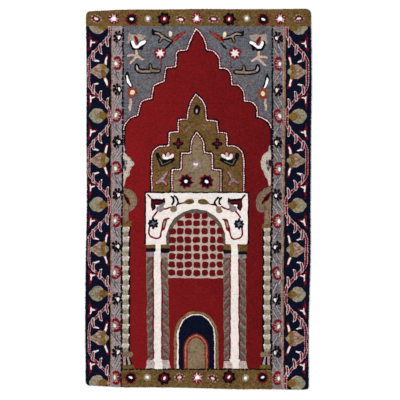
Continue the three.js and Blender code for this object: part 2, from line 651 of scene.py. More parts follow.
def palmette_inner(patch):
    """A wide fan that grows outward from the vine, with a gold heart where it joins."""
    edge = [(0, 4, 0), (12, 12, 3), (24, 25, 4), (38, 32, 4), (58, 28, 4), (69, 14, 3),
            (77, 5, 3), (76, -4, 3)]
    edge += [(68, -15, 4), (58, -27, 4), (37, -31, 4), (24, -24, 3), (12, -12, 3), (0, -4, 0)]
    outline = rounded(edge)
    far, share = patch.away(outline)
    scallop = np.abs(np.sin(share * line_length(outline) / 8))
    patch.fill(patch.inside(outline), "moss_grey")
    patch.fill(patch.inside(outline) & (far < 1.8 + 2.4 * scallop) & (patch.u < 48), "pink")
    patch.spot("taupe", 8, (45, 1), 1.8, 86)
    patch.spot("fawn", 4, (47, 9), 1.8, 75)
    gold = [(2, 4), (9, 10), (17, 17), (28, 15), (37, 3), (32, -12), (18, -17), (8, -10), (2, -4)]
    patch.fill(patch.inside(gold), "gold")
    patch.line("umber", [(28, 15), (36, 1), (31, -14)], 4)
    patch.line("umber", [(6, 0), (20, 4)], 3.2)


def bud(patch):
    """A forked white bud in a red outline. The patch's u axis points inward."""
    patch.line("crimson", bend([(-6, 22), (-2, 8), (0, -4), (-5, -25)]), 11, 9.5)
    patch.line("crimson", [(0, 3), (23, 9)], 14, 8)
    patch.line("off_white", bend([(-1, 12), (1, 2), (-1, -13)]), 4.2, 4.8)
    patch.line("off_white", [(0, 2), (17, 6)], 5.6, 4.2)


def sliver(patch):
    """A narrow white leaf with a red edge and a red tip."""
    patch.line("crimson", bend([(-2, -16), (-1, 0), (2, 12), (1, 19)]), 14, 9.5)
    patch.line("off_white", bend([(-2, -17), (-1, -2), (2, 11)]), 8.2, 6)


def paint_vine(side):
    mirror = -OUTWARD[side]
    slope = (VINE_PERIOD - INNER_RUN - OUTER_RUN) / 2
    for period in range(-1, 5):
        start = VINE_START - VINE_PERIOD * period - LOWER[side]
        middle = start - VINE_PERIOD / 2
        patch = region(*border_place(side, 50, middle), (60, 200))
        vine(patch, rounded(vine_points(side, start)), *VINE_SIZES[side])
        for up in (1, -1):
            for share, hook in BARBS:
                inward = VINE_INNER + (VINE_OUTER - VINE_INNER) * share
                y = middle + up * (VINE_PERIOD / 2 - INNER_RUN / 2 - slope * share)
                place = border_place(side, inward, y)
                leaf = Patch(*place, 40, turn=0 if up > 0 else 180, mirror=mirror * up)
                barb(leaf, hook)
            place = border_place(side, LEAF_INWARD, middle + FAN_SHIFT + up * LEAF_AWAY)
            tilt = -6 if up > 0 else 206
            sliver(Patch(*place, 34, turn=tilt, mirror=mirror))
        place = border_place(side, VINE_OUTER + 1, middle + FAN_SHIFT)
        palmette_outer(Patch(*place, 100, mirror=mirror))
        place = border_place(side, VINE_INNER - 5, start + FAN_SHIFT)
        palmette_inner(Patch(*place, 100, mirror=-mirror))
        for up in (1, -1):
            y = start + FAN_SHIFT + up * BUD_AWAY
            stem = Patch(*border_place(side, STEM_INWARD, y - up * 26), 34)
            stem.line("dark_red", [(-3, 16), (0, 0), (-3, -16)], 4.4)
            bud(Patch(*border_place(side, BUD_INWARD, y), 40, turn=6 * up, mirror=mirror))


# Mauve bands: black and red flowers in turn, with pairs of grey leaves between them

BAND_STEP = 105.8
BAND_START = 653.0
BAND_FLOWERS = 14


def flower_black(patch):
    """Broad black petals like the fingers of a hand round a white heart."""
    oval = np.hypot((patch.u + 1) / 19, patch.v / 29)
    patch.fill(oval < 1 - 0.12 * np.abs(np.cos(3.5 * patch.angle)), "black")
    for angle in (60, 105, 150, 205, 252, 300):
        c, s = direction(angle)
        patch.line("mauve", [(1 + 9 * c, 13 * s), (1 + 25 * c, 32 * s)], 1.8, 3.2)
    patch.spot("off_white", 5.4, (7, -1), 1.6, 75)
    patch.spot("fawn", 3.2, (-1, 5), 1.7, 60)


def flower_red(patch):
    petals = [(-6, 21, 25), (5, 19, -40), (10, 8, 100), (10, -8, 80), (5, -19, 40), (-6, -21, -25)]
    for u, v, turn in petals:
        patch.spot("crimson", 6.8, (u, v), 1.5, turn)
    patch.spot("rust", 7.4, (-1, 0), 1.8, 90)
    for u, v, turn in petals:
        patch.spot("pink", 1.9, (0.7 * u, 0.7 * v), 3.0, turn + 90)
    patch.line("moss_grey", [(1, 9), (1, -9)], 4.2)
    patch.spot("off_white", 5.8, (-7, 0), 1.5, 90)


def leaf_pair(patch, lean):
    """Two curved grey leaves with a light rib, one beside the other."""
    for u, v in ((-7, 8), (7, -8)):
        spine = bend([(u - 8 * lean, v + 18), (u - 4 * lean, v + 6),
                      (u + 5 * lean, v - 6), (u + 9 * lean, v - 18)])
        patch.line("umber_grey", spine, 12.4, 8)
        patch.line("silver", spine, 5.2, 4.0)


def paint_mauve_band(side):
    out = OUTWARD[side]
    for k in range(BAND_FLOWERS):
        y = BAND_START - BAND_STEP * k - LOWER[side]
        x = out * (border_line(side, 3, y) + border_line(side, 4, y)) / 2
        kind = flower_red if k % 2 else flower_black
        kind(Patch(x, y, 26, mirror=-out, turn=13 * (k % 3 - 1)))
        if k < BAND_FLOWERS - 1:
            leaf_pair(Patch(x, y - BAND_STEP / 2, 34, mirror=-out), 1 if k % 2 else -1)


# Spandrel: flowers, leaves and branches on the blue-grey ground, mirrored on the right side

def star_flower(patch):
    patch.fill(patch.lobed(25, 9, 0.12), "crimson")
    patch.fill(patch.spiky(22, 7, 0.66, 0.2), "lilac")
    patch.fill(patch.spiky(16, 7, 0.5, 0.2), "off_white")


def rust_flower(patch):
    patch.fill(patch.lobed(22, 8, 0.16), "rust")
    patch.fill(patch.lobed(14, 6, 0.1), "gold")
    patch.fill(patch.lobed(10, 5, 0.12), "cream")


def rust_leaf(patch):
    patch.line("crimson", [(-34, 0), (-8, 0)], 8, 20)
    patch.line("crimson", [(-8, 0), (34, 0)], 20, 7)
    patch.line("rust", [(-26, 0), (26, 0)], 11, 6)


def pale_bud(patch):
    patch.spot("rust", 8.5, (0, 2), 1.6, 90)
    patch.spot("cream", 6.8, (0, 0), 1.9, 90)


def branch(patch):
    """A forked branch in a black outline."""
    limb = bend([(-33, 10), (-12, 8), (6, -6), (38, -22)])
    twig = bend([(4, -4), (-2, -14), (-9, -25)])
    tip = [(-33, 11), (-38, 23)]
    patch.line("black", limb, 19, 16)
    patch.line("black", twig, 18, 14)
    patch.line("black", tip, 14, 8)
    patch.line("fawn", limb[2:], 7.4, 5)
    patch.line("taupe", twig, 7, 5)
    patch.spot("fawn", 5.5, (3, -4), 1.6, -40)


def tulip(patch):
    """White petals round a red heart, with a pale leaf behind. v points to the head."""
    leaf = [(-29, 31), (-35, -16), (-8, -8), (22, -2), (40, 14), (12, 21), (-14, 18)]
    patch.fill(patch.inside(leaf), "husk")
    patch.line("pink", [(-34, -14), (-29, 28), (-14, 18), (12, 20), (38, 14)], 5)
    edge = [(-20, -10), (-11, -34), (4, -35), (20, -24), (34, -10)]
    patch.line("black", edge, 17)
    patch.spot("black", 7, (21, -36))
    patch.line("white", [(-16, -9), (-8, -29), (4, -29)], 11, 10)
    patch.line("white", [(4, -29), (18, -17), (31, -9)], 9.5, 14)
    patch.line("crimson", [(-6, 12), (0, 0)], 9, 16)
    patch.line("crimson", [(0, 0), (7, -17)], 16, 8)


def antler(patch):
    """A pale leaf with four limbs."""
    limbs = [[(-2, 23), (1, 4), (-6, -8), (-26, -28)], [(0, 3), (-18, 5), (-36, 3)],
             [(0, 3), (14, -6), (26, -13)]]
    for limb in limbs:
        patch.line("russet", bend(limb), 14, 11.5)
    for limb in limbs:
        patch.line("beige", bend(limb), 10, 7.4)


def boat(patch):
    """A long low leaf in a black outline, with a stalk standing on it."""
    hull = bend([(-46, 13), (-45, 0), (-30, -9), (0, -10), (42, -8)])
    stalk = [(11, -6), (10, 17)]
    patch.line("black", hull, 21, 22)
    patch.line("black", stalk, 17, 14)
    patch.line("taupe", hull[6:], 8, 11)
    patch.line("lilac", hull[:7], 5, 8)
    patch.line("fawn", hull[10:], 3)
    patch.line("taupe", stalk, 8, 5)


def sickle(patch):
    """A bent white blade with a black outline."""
    blade = bend([(-3, 30), (-3, 14), (1, -6), (10, -26)])
    patch.line("black", blade[:6], 8, 16)
    patch.line("black", blade[5:], 20, 17)
    middle = [(u - 1, v) for u, v in blade[5:]]
    patch.line("white", middle[:6], 6, 11)
    patch.line("white", middle[5:], 11, 7)


def tail_leaf(patch):
    spine = bend([(0, 22), (2, 8), (-2, -8), (0, -22)])
    far, share = patch.away(spine)
    patch.fill(far < 8.4 - 1.8 * share, "russet")
    patch.fill((far < 8.4 - 1.8 * share) & (np.sin(share * 38) > 0.6), "rust")
    patch.fill(far < 4.6, "beige")


# The columns are the motif, its place on the left and on the right, its turn on each and its
# reach
SPANDREL = [
    (rust_leaf, (-82, 654), (74, 656), 36, 36, 50),
    (branch, (-147, 659), (141, 661), 0, 12, 55),
    (pale_bud, (-113, 666), (107, 662), 12, 12, 26),
    (star_flower, (-154, 587), (148, 587), 0, 0, 34),
    (tulip, (-250, 642), (244, 640), 0, 0, 60),
    (antler, (-249, 575), (243, 568), 0, 0, 50),
    (boat, (-203, 524), (194, 520), 0, 0, 64),
    (sickle, (-284, 482), (276, 474), 0, 0, 45),
    (rust_flower, (-266, 429), (260, 424), 0, 0, 32),
    (tail_leaf, (-274, 380), (272, 380), 0, 0, 36),
]
# Thin stems: the yarn, the width and the points on the left, mirrored about the niche's axis
STEMS = [
    ("russet", 4.6, [(-288, 682), (-272, 664)]),
    ("grey_brown", 4.6, [(-222, 600), (-180, 592)]),
    ("crimson", 4.2, [(-147, 564), (-151, 524)]),
    ("grey_brown", 4.6, [(-255, 460), (-172, 500)]),
    ("black", 8, [(-108, 629), (-120, 616), (-132, 606)]),
]


def paint_spandrel():
    for name, width, points in STEMS:
        for side in (-1, 1):
            line = [(AXIS - side * (AXIS - x), y) for x, y in points]
            cloth = region(*np.mean(line, axis=0), 70)
            cloth.line(name, line, width)
    for motif, left, right, left_turn, right_turn, reach in SPANDREL:
        motif(Patch(*left, reach, turn=left_turn))
        motif(Patch(*right, reach, turn=right_turn, mirror=-1))


# Dome over the portal

def paint_dome():
    cloth = whole()
    cloth.fill(cloth.inside(closed_line(DOME_LEFT, DOME_RIGHT)), "olive")
    piped_line(DOME_LEFT, DOME_RIGHT, True)
    cloth.fill(cloth.inside(closed_line(PANEL_LEFT, PANEL_RIGHT)), "taupe")
    piped_line(PANEL_LEFT, PANEL_RIGHT, True)


def drop(patch):
    patch.spot("black", 13.5, (0, 0), 1.7, 90)
    patch.spot("mauve", 4.8, (0, -3), 2.5, 90)
    patch.spot("lilac", 2.4, (0, -4), 3, 90)


def faint_leaf(patch):
    patch.line("grey_brown", bend([(-17, -20), (-4, 2), (18, 13)]), 7)
    patch.line("umber", bend([(-6, -18), (6, -6), (14, 2)]), 3)


def cross(patch):
    for way in ([(-16, 0), (16, 0)], [(0, -17), (0, 17)]):
        patch.line("black", way, 13.5)
    for way in ([(-12, 0), (11, 0)], [(0, -12), (0, 12)]):
        patch.line("dark_red", way, 5.4)
    patch.spot("crimson", 4.6)


def lily(patch):
    """A white flower of three petals over a black and grey leaf."""
    leaf = [(-42, 18), (-23, -23), (22, -2)]
    patch.line("black", leaf, 17)
    patch.line("black", [(-22, -10), (6, -2)], 15, 10)
    patch.line("grey_green", [(-34, 2), (-22, -23), (12, -7)], 4, 3.6)
    petals = [(-15, 10, 105, "off_white"), (15, 12, 40, "off_white"), (1, 17, 80, "beige")]
    for u, v, turn, name in petals:
        patch.spot("crimson", 8.8, (u, v + 3), 1.75, turn)
        patch.spot(name, 6.2, (u, v), 2.0, turn)
    patch.spot("white", 5, (-3, 3), 1.7)


def grey_wing(patch):
    """A grey leaf of three points in a red outline."""
    lines = [[(-23, -18), (0, -2), (18, 26)], [(-9, -9), (4, -12), (14, -25)]]
    for line in lines:
        patch.line("crimson", line, 18, 14)
    for line in lines:
        patch.line("mauve", [(u - 1, v + 1) for u, v in line], 11, 8)


def night_star(patch):
    patch.fill(patch.spiky(32, 8, 0.3), "crimson")
    patch.fill(patch.spiky(26, 8, 0.36), "black")
    patch.spot("white", 6.8, (0, 0), 1.25, 20)


def faint_dot(patch):
    patch.fill(patch.spiky(24, 8, 0.4), "mauve")
    patch.fill(patch.lobed(13, 7, 0.15), "pink")
    patch.spot("off_white", 5.2, (0, 0), 2.0)


DOME_MOTIFS = [
    (faint_leaf, (-38, 285), (29, 285), 0, 36),
    (cross, (-81, 222), (77, 221), 0, 34),
    (lily, (-124, 160), (117, 160), 0, 56),
    (grey_wing, (-143, 81), (136, 81), 0, 44),
    (night_star, (-50, 70), (33, 69), 10, 40),
]


def paint_dome_motifs():
    drop(Patch(-5, 358, 34))
    faint_dot(Patch(-10, 138, 34))
    for motif, left, right, turn, reach in DOME_MOTIFS:
        motif(Patch(*left, reach, turn=turn))
        motif(Patch(*right, reach, turn=turn, mirror=-1))


# Portal with its round arch, and the lattice that fills the arch

PORTAL_LEFT = -211
PORTAL_RIGHT = 199.5
PORTAL_HEAD = 22.5
PORTAL_FOOT = -184
PORTAL_EDGE = 6.0
ARCH_CENTRE = (-10, -166)
ARCH_OUTER = (119.5, 123.5)
ARCH_BAND = 15.5
# The lattice's red squares: the middle of each column and of each row, and half its size
LATTICE_COLUMNS = [
    (-105.5, 14.4), (-73, 14.4), (-40.5, 14.4), (-6.5, 14.2), (26.5, 13.4), (58, 12.4), (88.3, 13),
]
LATTICE_ROWS = [
    (-70, 12), (-98.5, 12), (-132, 13.4), (-166.5, 13.4), (-200, 13.4), (-233, 13), (-267, 13.2),
    (-299.5, 13.2),
]
LATTICE_FOOT = -321
LATTICE_EDGES = (-122, 104)


def paint_portal():
    cloth = whole()
    up_wave = 0.9 * ragged(cloth.v, 1.5)
    side_wave = 0.9 * ragged(cloth.u, 1.5)
    edge = cloth.box(PORTAL_LEFT - PORTAL_EDGE, PORTAL_RIGHT + PORTAL_EDGE, PORTAL_FOOT,
                     PORTAL_HEAD + PORTAL_EDGE)
    cloth.fill(edge, "black")
    ivory = (cloth.u > PORTAL_LEFT + up_wave) & (cloth.u < PORTAL_RIGHT + up_wave)
    ivory &= (cloth.v > PORTAL_FOOT - 1) & (cloth.v < PORTAL_HEAD + side_wave)
    cloth.fill(ivory, "off_white")
    a = cloth.u - ARCH_CENTRE[0]
    b = np.maximum(cloth.v - ARCH_CENTRE[1], 0)
    over = cloth.v > LATTICE_FOOT
    outer = np.hypot(a / ARCH_OUTER[0], b / ARCH_OUTER[1]) < 1
    inner = np.hypot(a / (ARCH_OUTER[0] - ARCH_BAND), b / (ARCH_OUTER[1] - ARCH_BAND)) < 1
    cloth.fill(outer & (cloth.v > PORTAL_FOOT), "stone")
    below = cloth.box(*LATTICE_EDGES, LATTICE_FOOT, PORTAL_FOOT)
    cloth.fill((inner & over) | below, "rose_grey")
    for row, (y, half_height) in enumerate(LATTICE_ROWS):
        for k, (x, half_width) in enumerate(LATTICE_COLUMNS):
            hidden = (row == 0 and k not in (2, 3, 4)) or (row == 1 and k in (0, 6))
            if hidden:
                continue
            tilt = 7 * math.sin(5.1 * k + 3.7 * row)
            spot = Patch(x + math.sin(7 * row + k), y + math.cos(3 * k + row), 18, turn=tilt)
            wide = half_width + 0.6 * math.sin(4 * k + row)
            high = half_height + 0.6 * math.cos(2 * k + 5 * row)
            lump = (np.abs(spot.u / wide) ** 4 + np.abs(spot.v / high) ** 4) < 1
            spot.fill(lump, "garnet")


def portal_corner(patch):
    """A red bracket in black, with a mauve flower in its angle and a thin red vine."""
    patch.line("crimson", [(-37, 34), (-23, 18)], 7.4)
    bracket = [(-25, 20), (22, 16), (31, 23), (36, 3), (24, -6), (-2, -8), (-6, -24),
               (-18, -32), (-25, -14)]
    patch.fill(patch.inside(bracket), "black")
    patch.line("dark_red", [(-15, 5), (-16, -20)], 9.5, 8)
    patch.line("dark_red", [(-8, 5), (25, 4)], 8.5, 8)
    patch.fill(patch.lobed(17, 5, 0.22, 0.4, (13, -21)), "mauve")
    patch.line("mauve", [(14, -18), (31, -2)], 13, 8)
    patch.line("white", [(-3, -10), (9, -10)], 7.5, 4.5)
    patch.line("crimson", [(2, -33), (-17, -57)], 7.4)
    patch.line("crimson", [(29, -24), (44, -22), (58, -14)], 6.4)


def hook(patch):
    """Two black strokes in the shape of an S, with a taupe square and a red vine below."""
    patch.line("black", bend([(-14, 21), (-4, 12), (-3, 0), (-8, -9)]), 8)
    patch.line("black", bend([(0, 22), (12, 11), (16, -3), (8, -14)]), 8)
    square = [(-17, -33), (-5, -14), (10, -19), (11, -37), (1, -43), (-13, -40)]
    patch.fill(patch.inside(square), "taupe")
    patch.line("crimson", [(15, -11), (27, -6), (39, -4)], 6.2)


def olive_bud(patch):
    patch.spot("olive", 11.5, (2, 0), 1.8, 8)
    patch.line("olive", [(-10, -2), (-22, -4)], 14, 7)
    patch.spot("umber", 3.6, (8, 3), 1.8, 20)


def blue_flower(patch):
    """A dark flower of uneven petals, taller than it is wide, with two light lines across it."""
    petals = [(90, 21), (40, 19), (0, 17), (-38, 19), (-90, 20), (-140, 18), (180, 17), (140, 18)]
    for turn, reach in petals:
        c, s = direction(turn)
        patch.line("navy", [(0, 0), (reach * c, reach * s)], 17, 9.5)
    for turn in (15, 105):
        c, s = direction(turn)
        patch.line("blue_grey", [(-10 * c, -10 * s), (10 * c, 10 * s)], 5.2)


def portal_vine(patch):
    """The thin red line that hangs from the flower and turns up into a leaf."""
    loop = bend([(-17, -14), (-18, -42), (-9, -55), (14, -60), (27, -53), (33, -30), (37, -14)])
    patch.line("crimson", loop, 7.2)
    patch.line("crimson", [(38, -20), (47, 14)], 18, 15)
    patch.line("crimson", [(46, 16), (61, 21)], 7)
    patch.line("moss_grey", [(40, -12), (46, 10)], 6.6)


PORTAL_MOTIFS = [
    (portal_vine, (-181, -100), (160, -103), 90),
    (portal_corner, (-167, -18), (153, -18), 66),
    (hook, (-97, -12), (82, -16), 56),
    (olive_bud, (-37, -12), (20, -13), 50),
    (blue_flower, (-182, -100), (165, -103), 34),
]


def paint_portal_motifs():
    for motif, left, right, reach in PORTAL_MOTIFS:
        motif(Patch(*left, reach))
        motif(Patch(*right, reach, mirror=-1))


# Columns of the portal: two twisted shafts with a white one between them

SHAFT_HEAD = -233
SHAFT_FOOT = -653
TWIST = 38.0
TWIST_SLOPE = 1.15
# The edges of each column. The columns of the table are the height on the rug, the outer and
# the inner edge of one shaft, the white shaft's edges, and the edges of the other shaft.
COLUMN_EDGES = {
    "left": [
        (-653, -201.5, -184.0, -178.2, -150.8, -144.6, -117.8),
        (-409, -206.0, -184.2, -178.0, -148.8, -143.0, -122.5),
        (-236, -207.5, -185.6, -179.4, -152.4, -146.6, -125.5),
    ],
    "right": [
        (-653, 106.0, 125.0, 131.4, 163.0, 168.8, 191.5),
        (-409, 103.5, 126.2, 131.8, 162.2, 167.8, 190.2),
        (-236, 103.0, 126.4, 132.2, 161.2, 167.2, 189.5),
    ],
}
# The bars of the capitals: yarn, left and right edge, lower and upper edge
CAPITALS = {
    "left": [
        ("mauve", -209.5, -180.5, -235, -214), ("mauve", -151.5, -123.5, -237, -218),
        ("black", -209.5, -172.5, -214.5, -199), ("black", -152.5, -117.5, -219, -199.5),
        ("olive", -211.5, -171.5, -199, -185), ("olive", -150.5, -117.5, -200, -185.5),
    ],
    "right": [
        ("mauve", 104.5, 129, -239, -221), ("mauve", 161.5, 196.5, -240, -225),
        ("black", 101.5, 133, -221.5, -206), ("black", 160.5, 198.5, -226, -211),
        ("olive", 102, 133.5, -206.5, -187), ("olive", 160.5, 199, -211.5, -189),
    ],
}
CAPITAL_GAP = {"left": (-171.5, -152.8), "right": (133.5, 160)}
COLUMN_FEET = {
    "left": {
        "cloth": [(-208, -652), (-213, -686), (-112, -686), (-117, -652)],
        "ivory": [(-183, -648), (-175, -664), (-177, -686), (-143, -686), (-145, -664),
                  (-146, -650)],
    },
    "right": {
        "cloth": [(103, -655), (98, -688), (200, -688), (192, -655)],
        "ivory": [(125, -648), (136, -666), (139, -690), (150, -697), (164, -698), (163, -668),
                  (169, -650)],
    },
}


def column_edge(side, column, y):
    """Where an edge of a column runs at a height on the rug."""
    heights = [row[0] for row in COLUMN_EDGES[side]]
    return np.interp(y, heights, [row[column] for row in COLUMN_EDGES[side]])


def paint_column(side):
    """Two twisted shafts with a white one between them, under two capitals."""
    patch = region((COLUMN_EDGES[side][0][1] + COLUMN_EDGES[side][0][6]) / 2, -440, (60, 280))
    x, y = patch.u, patch.v
    outer, inner, left, right, far_inner, far_outer = (
        column_edge(side, k, y) for k in range(1, 7)
    )
    shafts = (y < SHAFT_HEAD) & (y > SHAFT_FOOT)
    patch.fill(shafts & (x > outer - 2.2) & (x < far_outer + 2.2), "tan")
    patch.fill(shafts & (x > outer) & (x < far_outer), "grey_green")
    for low, high, lean in ((outer, inner, -1), (far_inner, far_outer, 1)):
        turn = ((y + lean * TWIST_SLOPE * (x - low)) / TWIST) % 1
        shaft = shafts & (x > low) & (x < high)
        patch.fill(shaft & (turn < 0.32), "russet")
        patch.fill(shaft & (turn > 0.68) & (turn < 0.94), "sage")
    patch.fill(shafts & (x > inner) & (x < far_inner), "crimson")
    patch.fill((y < SHAFT_HEAD + 20) & (y > FOOT_LINE + 2) & (x > left) & (x < right), "off_white")
    foot = COLUMN_FEET[side]
    patch.fill(patch.inside(foot["cloth"]), "lilac")
    ribs = np.sin(x / 1.25 + 1.2 * np.sin(y / 9)) > 0.25
    patch.fill(patch.inside(foot["cloth"]) & ribs, "rose_grey")
    patch.fill(patch.inside(foot["ivory"]), "off_white")
    for name, low, high, bottom, top in CAPITALS[side]:
        patch.fill(patch.box(low, high, bottom, top), name)
    low, high = CAPITAL_GAP[side]
    patch.fill(patch.box(low, high, SHAFT_HEAD + 18, PORTAL_FOOT + 4), "off_white")


# Doorway at the foot of the niche: nested arches

# The outer edge of the doorway and of the arch inside it: half width, height on the rug and the
# distance over which that corner is rounded
DOOR_OUTLINE = [
    (90, -700, 0), (89, -553, 10), (83, -515, 12), (62, -480, 14), (24, -455, 14), (0, -454, 0),
]
INNER_OUTLINE = [(51, -700, 0), (50.5, -590, 14), (41, -567, 12), (22, -551, 12), (0, -543.5, 0)]
# Bands inside each edge: how deep each starts, how wavy its edge is and its yarn
DOOR_BANDS = [(0, 0, "moss"), (9.2, 0, "brick"), (12, 0, "off_white"), (16, 1.3, "navy")]
INNER_BANDS = [(-1, 0, "crimson"), (5, 0, "pale_gold"), (10.8, 0, "brick"), (17.4, 0, "taupe")]
# A white line stands on the left of the doorway, up to this height and between these edges
JAMB_HEAD = -530
JAMB_EDGES = (-86, -79)


def paint_doorway():
    patch = region(AXIS, -570, (110, 130))
    above = patch.v > FOOT_LINE + 2
    for outline, bands in ((DOOR_OUTLINE, DOOR_BANDS), (INNER_OUTLINE, INNER_BANDS)):
        right = rounded([(AXIS + half, y, size) for half, y, size in outline])
        left = [(2 * AXIS - x, y) for x, y in right]
        line = left + right[::-1]
        far, share = patch.away(line)
        within = patch.inside(line) & above
        wave = stitched(share, line_length(line), 8.0)
        for depth, rough, name in bands:
            patch.fill(within & (far > depth + rough * wave), name)
    jamb = patch.box(*JAMB_EDGES, FOOT_LINE + 2, JAMB_HEAD)
    patch.fill(jamb, "off_white")


# Half columns at the sides of the niche: a leaf bracket, a scroll and a plaited shaft

# The plaited shaft: the middle of its width from the niche's edge, half its width, how much
# wider each leaf is at its head, the shaft's foot, the point of its first tongue and how far
# down the next one is
PLAIT_MIDDLE = {"left": 12.0, "right": 14.0}
PLAIT_HALF = 11.5
PLAIT_FLARE = 5.0
PLAIT_FOOT = -620
PLAIT_START = {"left": -115.0, "right": -113.5}
PLAIT_STEP = {"left": 39.2, "right": 39.6}
# The base under the shaft: the upper block's reach from the niche's edge and its height, the reach
# of the step below it and how deep its foot is, and the reach of the lower block
BLOCK_REACH = 41
BLOCK_HEIGHT = 19
STEP_REACH = 30
STEP_DEPTH = 52
LOWER_REACH = 45
# Outlines of the bracket's leaf and of the scroll: distance inward from the niche's edge, height
# on the rug and the distance over which that corner is rounded
BRACKET_LEAF = {
    "left": [
        (3, 190, 0), (9, 184, 3), (19, 174, 3), (27, 167, 3), (40, 152, 4), (48, 143, 3),
        (46, 134, 3), (37, 129, 3), (36, 119, 3), (29, 114, 3), (27, 106, 3), (29.6, 99, 3),
        (22, 90, 3), (12.6, 83, 3), (9.4, 72, 3), (9, 59, 3), (3, 46, 0),
    ],
    "right": [
        (2, 196, 0), (11, 192, 4), (28, 178, 6), (38.7, 158, 6), (39.5, 140, 5), (36.3, 118, 4),
        (26.5, 108, 3), (20, 85, 4), (10.4, 76, 3), (6.4, 50, 0),
    ],
}
SCROLL = {
    "left": [
        (-9, 47, 0), (4, 44, 3), (13, 38, 3), (21, 39, 3), (31, 38, 5), (43.4, 29, 6),
        (53, 14, 8), (58, -4, 8), (58, -20, 8), (52.3, -34, 6), (43, -45, 6), (29, -53, 6),
        (20, -54, 3), (-9, -54, 0),
    ],
    "right": [
        (-9, 50, 0), (9, 47, 4), (22, 41, 4), (29, 30, 3), (43, 27, 5), (54, 14, 7),
        (59, -4, 8), (59.5, -30, 8), (54, -47, 6), (43, -55, 5), (28, -54, 3), (-9, -54, 0),
    ],
}
# Yarns of the scroll from its edge inwards, and how deep each starts
SCROLL_BANDS = [(0, "sage"), (3.6, "russet"), (5.8, "taupe"), (11, "russet"), (13.2, "taupe")]
# The yarns side by side in the stem below the scroll, and how far in from the niche's edge each
# one reaches
STEM_BANDS = [(25.5, "umber"), (21, "tan"), (15, "taupe"), (9, "grey_brown"), (4, "tan")]
# The heights of the half column's capital
HALF_CAPITAL = {"left": (-113, -91), "right": (-119, -103)}
# The drop in the scroll: its ends and its middle, its width there, and the ends of its core
DROPS = {
    "left": ([(4, 20), (20, -6), (27, -25)], (4, 16.5, 8), [(14, 6), (22, -17)]),
    "right": ([(-2, 28), (16, 2), (35, -22)], (4, 19.5, 5), [(9, 12), (24, -8)]),
}


def niche_edge(side):
    return OUTWARD[side] * (border_line(side, 4, -150) - DASH_WIDTH / 2)


def paint_bracket(patch, side, free):
    """A pale leaf that hangs from the niche's edge, with dark marks along it."""
    head, foot = BRACKET_LEAF[side][0], BRACKET_LEAF[side][-1]
    outline = rounded([(-9, head[1], 0), *BRACKET_LEAF[side], (-9, foot[1], 0)])
    leaf = patch.inside(outline) & free
    far, _ = patch.away(outline)
    patch.fill(leaf, "shell")
    patch.fill(leaf & (far < 5) & (patch.u > 14), "husk")
    patch.fill(leaf & (far < 2.6) & (patch.u > 14), "shell")
    patch.fill(leaf & patch.disc(7, (6, 139), 3.0, 93), "blue_grey")
    patch.fill(leaf & patch.disc(5.4, (2, 144), 2.6, 90), "navy")
    patch.fill(leaf & patch.stroke([(15, 156), (17, 140)], 5, 6), "russet")
    patch.fill(leaf & patch.stroke([(14, 127), (9, 112)], 5.4, 4), "dark_red")
    line = [(6, 196), (4, 214)]
    patch.fill(patch.stroke(line, 7, 5) & free, "pale_silver")


def paint_scroll(patch, side, free):
    """A scroll of several yarns side by side, with a dark drop in it and a stem below."""
    loop = rounded(SCROLL[side])
    far, _ = patch.away(loop)
    scroll = patch.inside(loop) & free
    for depth, name in SCROLL_BANDS:
        patch.fill(scroll & (far > depth), name)
    stem = free & (patch.v < -18) & (patch.v > HALF_CAPITAL[side][1] - 2)
    for reach, name in STEM_BANDS:
        patch.fill(stem & (patch.u < reach), name)
    (start, middle, end), widths, core = DROPS[side]
    for extra, name in ((5, "tan"), (0, "dark_red")):
        first, broad, last = (width + extra for width in widths)
        patch.fill(patch.stroke([start, middle], first, broad) & free, name)
        patch.fill(patch.stroke([middle, end], broad, last) & free, name)
    patch.line("black", core, 6, 8)


def paint_plait(patch, side):
    """A shaft of leaves stacked in each other, each with a grey tongue that points down."""
    across = np.abs(patch.u - PLAIT_MIDDLE[side])
    y = patch.v
    phase = ((PLAIT_START[side] - y) / PLAIT_STEP[side]) % 1
    shaft = (y < HALF_CAPITAL[side][0]) & (y > PLAIT_FOOT)
    edge = PLAIT_MIDDLE[side] + PLAIT_HALF + PLAIT_FLARE + 3
    patch.fill(shaft & (patch.u > -1) & (patch.u < edge), "black")
    reach = PLAIT_HALF + PLAIT_FLARE * np.clip(1.1 - phase * 1.6, 0, 1) ** 2
    leaf = shaft & (across < reach) & (patch.u > -3)
    patch.fill(leaf, "shell")
    soft = (phase > 0.3) & (across < 15 * np.sqrt(np.clip(phase - 0.3, 0, 1)))
    patch.fill(leaf & soft, "husk")
    tongue = (phase > 0.5) & (across < 13.5 * np.sqrt(np.clip((1.04 - phase) / 0.5, 0, 1)))
    patch.fill(leaf & tongue, "moss_grey")
    patch.fill(leaf & (phase < 0.14) & (across > 8), "off_white")


def paint_column_base(patch):
    """The blocks under the plaited shaft, with a slanting grey foot between them."""
    y = patch.v
    base = patch.u > -1
    below = PLAIT_FOOT - y
    patch.fill(base & (patch.u < BLOCK_REACH) & (below > 0) & (below < BLOCK_HEIGHT), "taupe")
    patch.fill(base & (patch.u < 10) & (below > 0) & (below < 17), "grey_brown")
    step = base & (below > BLOCK_HEIGHT) & (below < STEP_DEPTH)
    slant = (below - BLOCK_HEIGHT) * 0.3
    patch.fill(step & (patch.u < STEP_REACH + slant), "black")
    patch.fill(step & (patch.u < STEP_REACH + slant - 5.5), "silver")
    patch.fill(step & (patch.u < 18 + slant * 0.6), "black")
    patch.fill(step & (patch.u < 13), "pink")
    patch.fill(step & (patch.u < 3), "dark_red")
    lower = base & (patch.u < LOWER_REACH) & (below > STEP_DEPTH - 1) & (y > FOOT_LINE + 2)
    patch.fill(lower, "olive")


